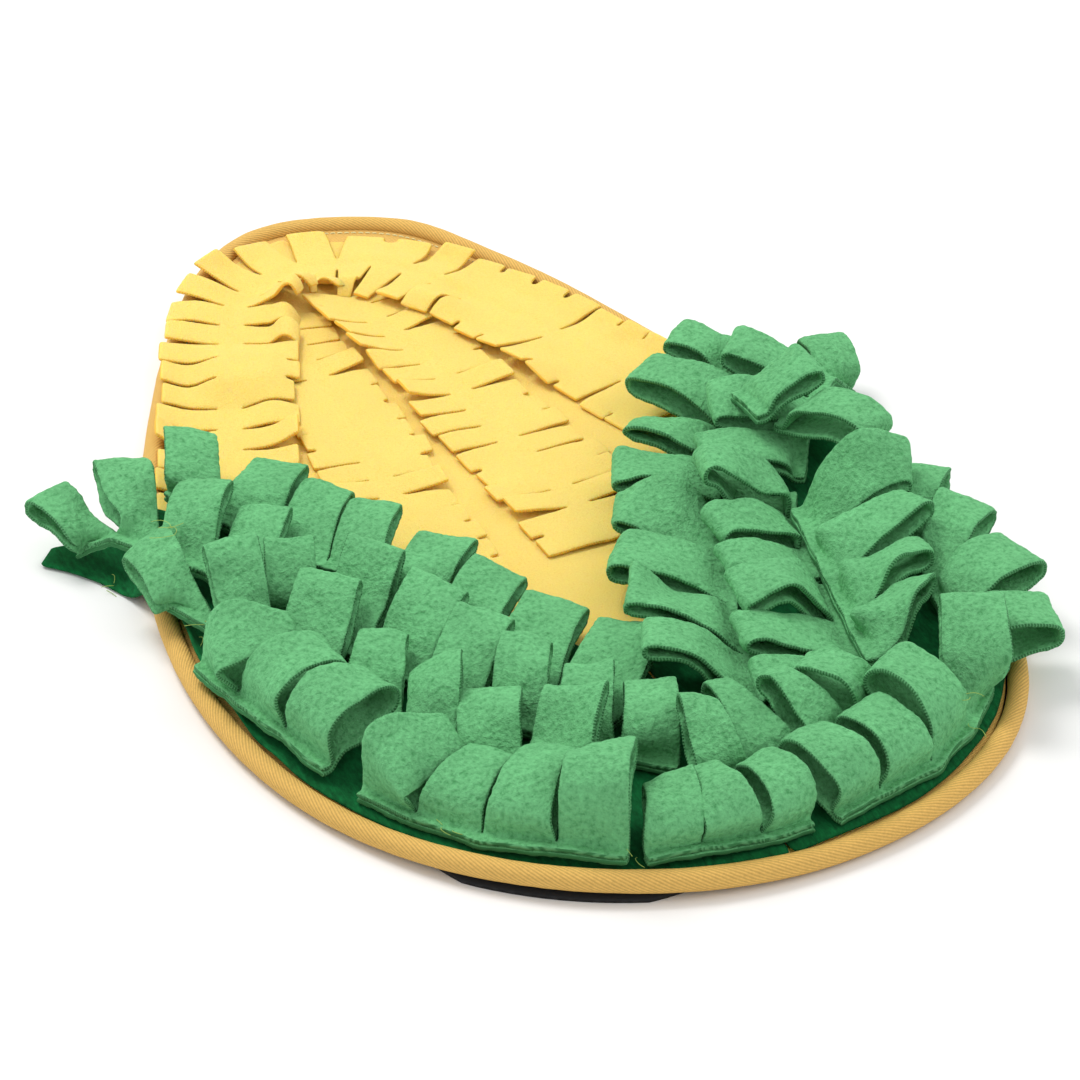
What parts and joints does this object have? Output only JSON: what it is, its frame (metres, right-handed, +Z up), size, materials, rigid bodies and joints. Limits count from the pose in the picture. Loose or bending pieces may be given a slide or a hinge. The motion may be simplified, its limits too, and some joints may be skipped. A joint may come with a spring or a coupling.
{
  "type": "snuffle mat",
  "caption": "Flat corn-cob shaped pet foraging mat with slit yellow fringe, felt husk leaves and folded green fleece loops that hide treats.",
  "frame": {"origin": "on the floor, in the middle of the mat's bounding box", "axes": "+Z up, +Y from the husk end to the tip of the cob, along the mat's length"},
  "size_m": [0.4007, 0.5651, 0.0539],
  "materials": {
    "black_grip": "matt woven grip cloth",
    "panel": "matt fleece",
    "mustard": "ribbed twill",
    "felt": "matt felt",
    "yellow": "matt fleece",
    "green": "matt fleece, slightly pilled"
  },
  "bodies": {
    "root": {"underside": "black_grip", "top_panel": "panel", "edge_roll": "mustard", "felt_leaf_left": "felt", "felt_leaf_right": "felt", "yellow_strip_left": "yellow", "yellow_strip_right": "yellow", "yellow_strip_outer": "yellow", "left_row_1_upper": "green", "left_row_1_lower": "green", "left_row_2_upper": "green", "left_row_2_middle": "green", "left_row_2_lower": "green", "left_row_3_upper": "green", "left_row_3_lower": "green", "right_row_1_upper": "green", "right_row_1_lower": "green", "right_row_4_upper": "green", "right_row_2_upper": "green", "right_row_2_middle": "green", "right_row_2_lower": "green", "front_row_1": "green", "front_row_3": "green", "left_row_4_upper": "green", "left_row_4_lower": "green", "right_bent_loop": "green", "right_row_3": "green", "front_row_2": "green", "right_tube": "green"}
  },
  "joints": []
}
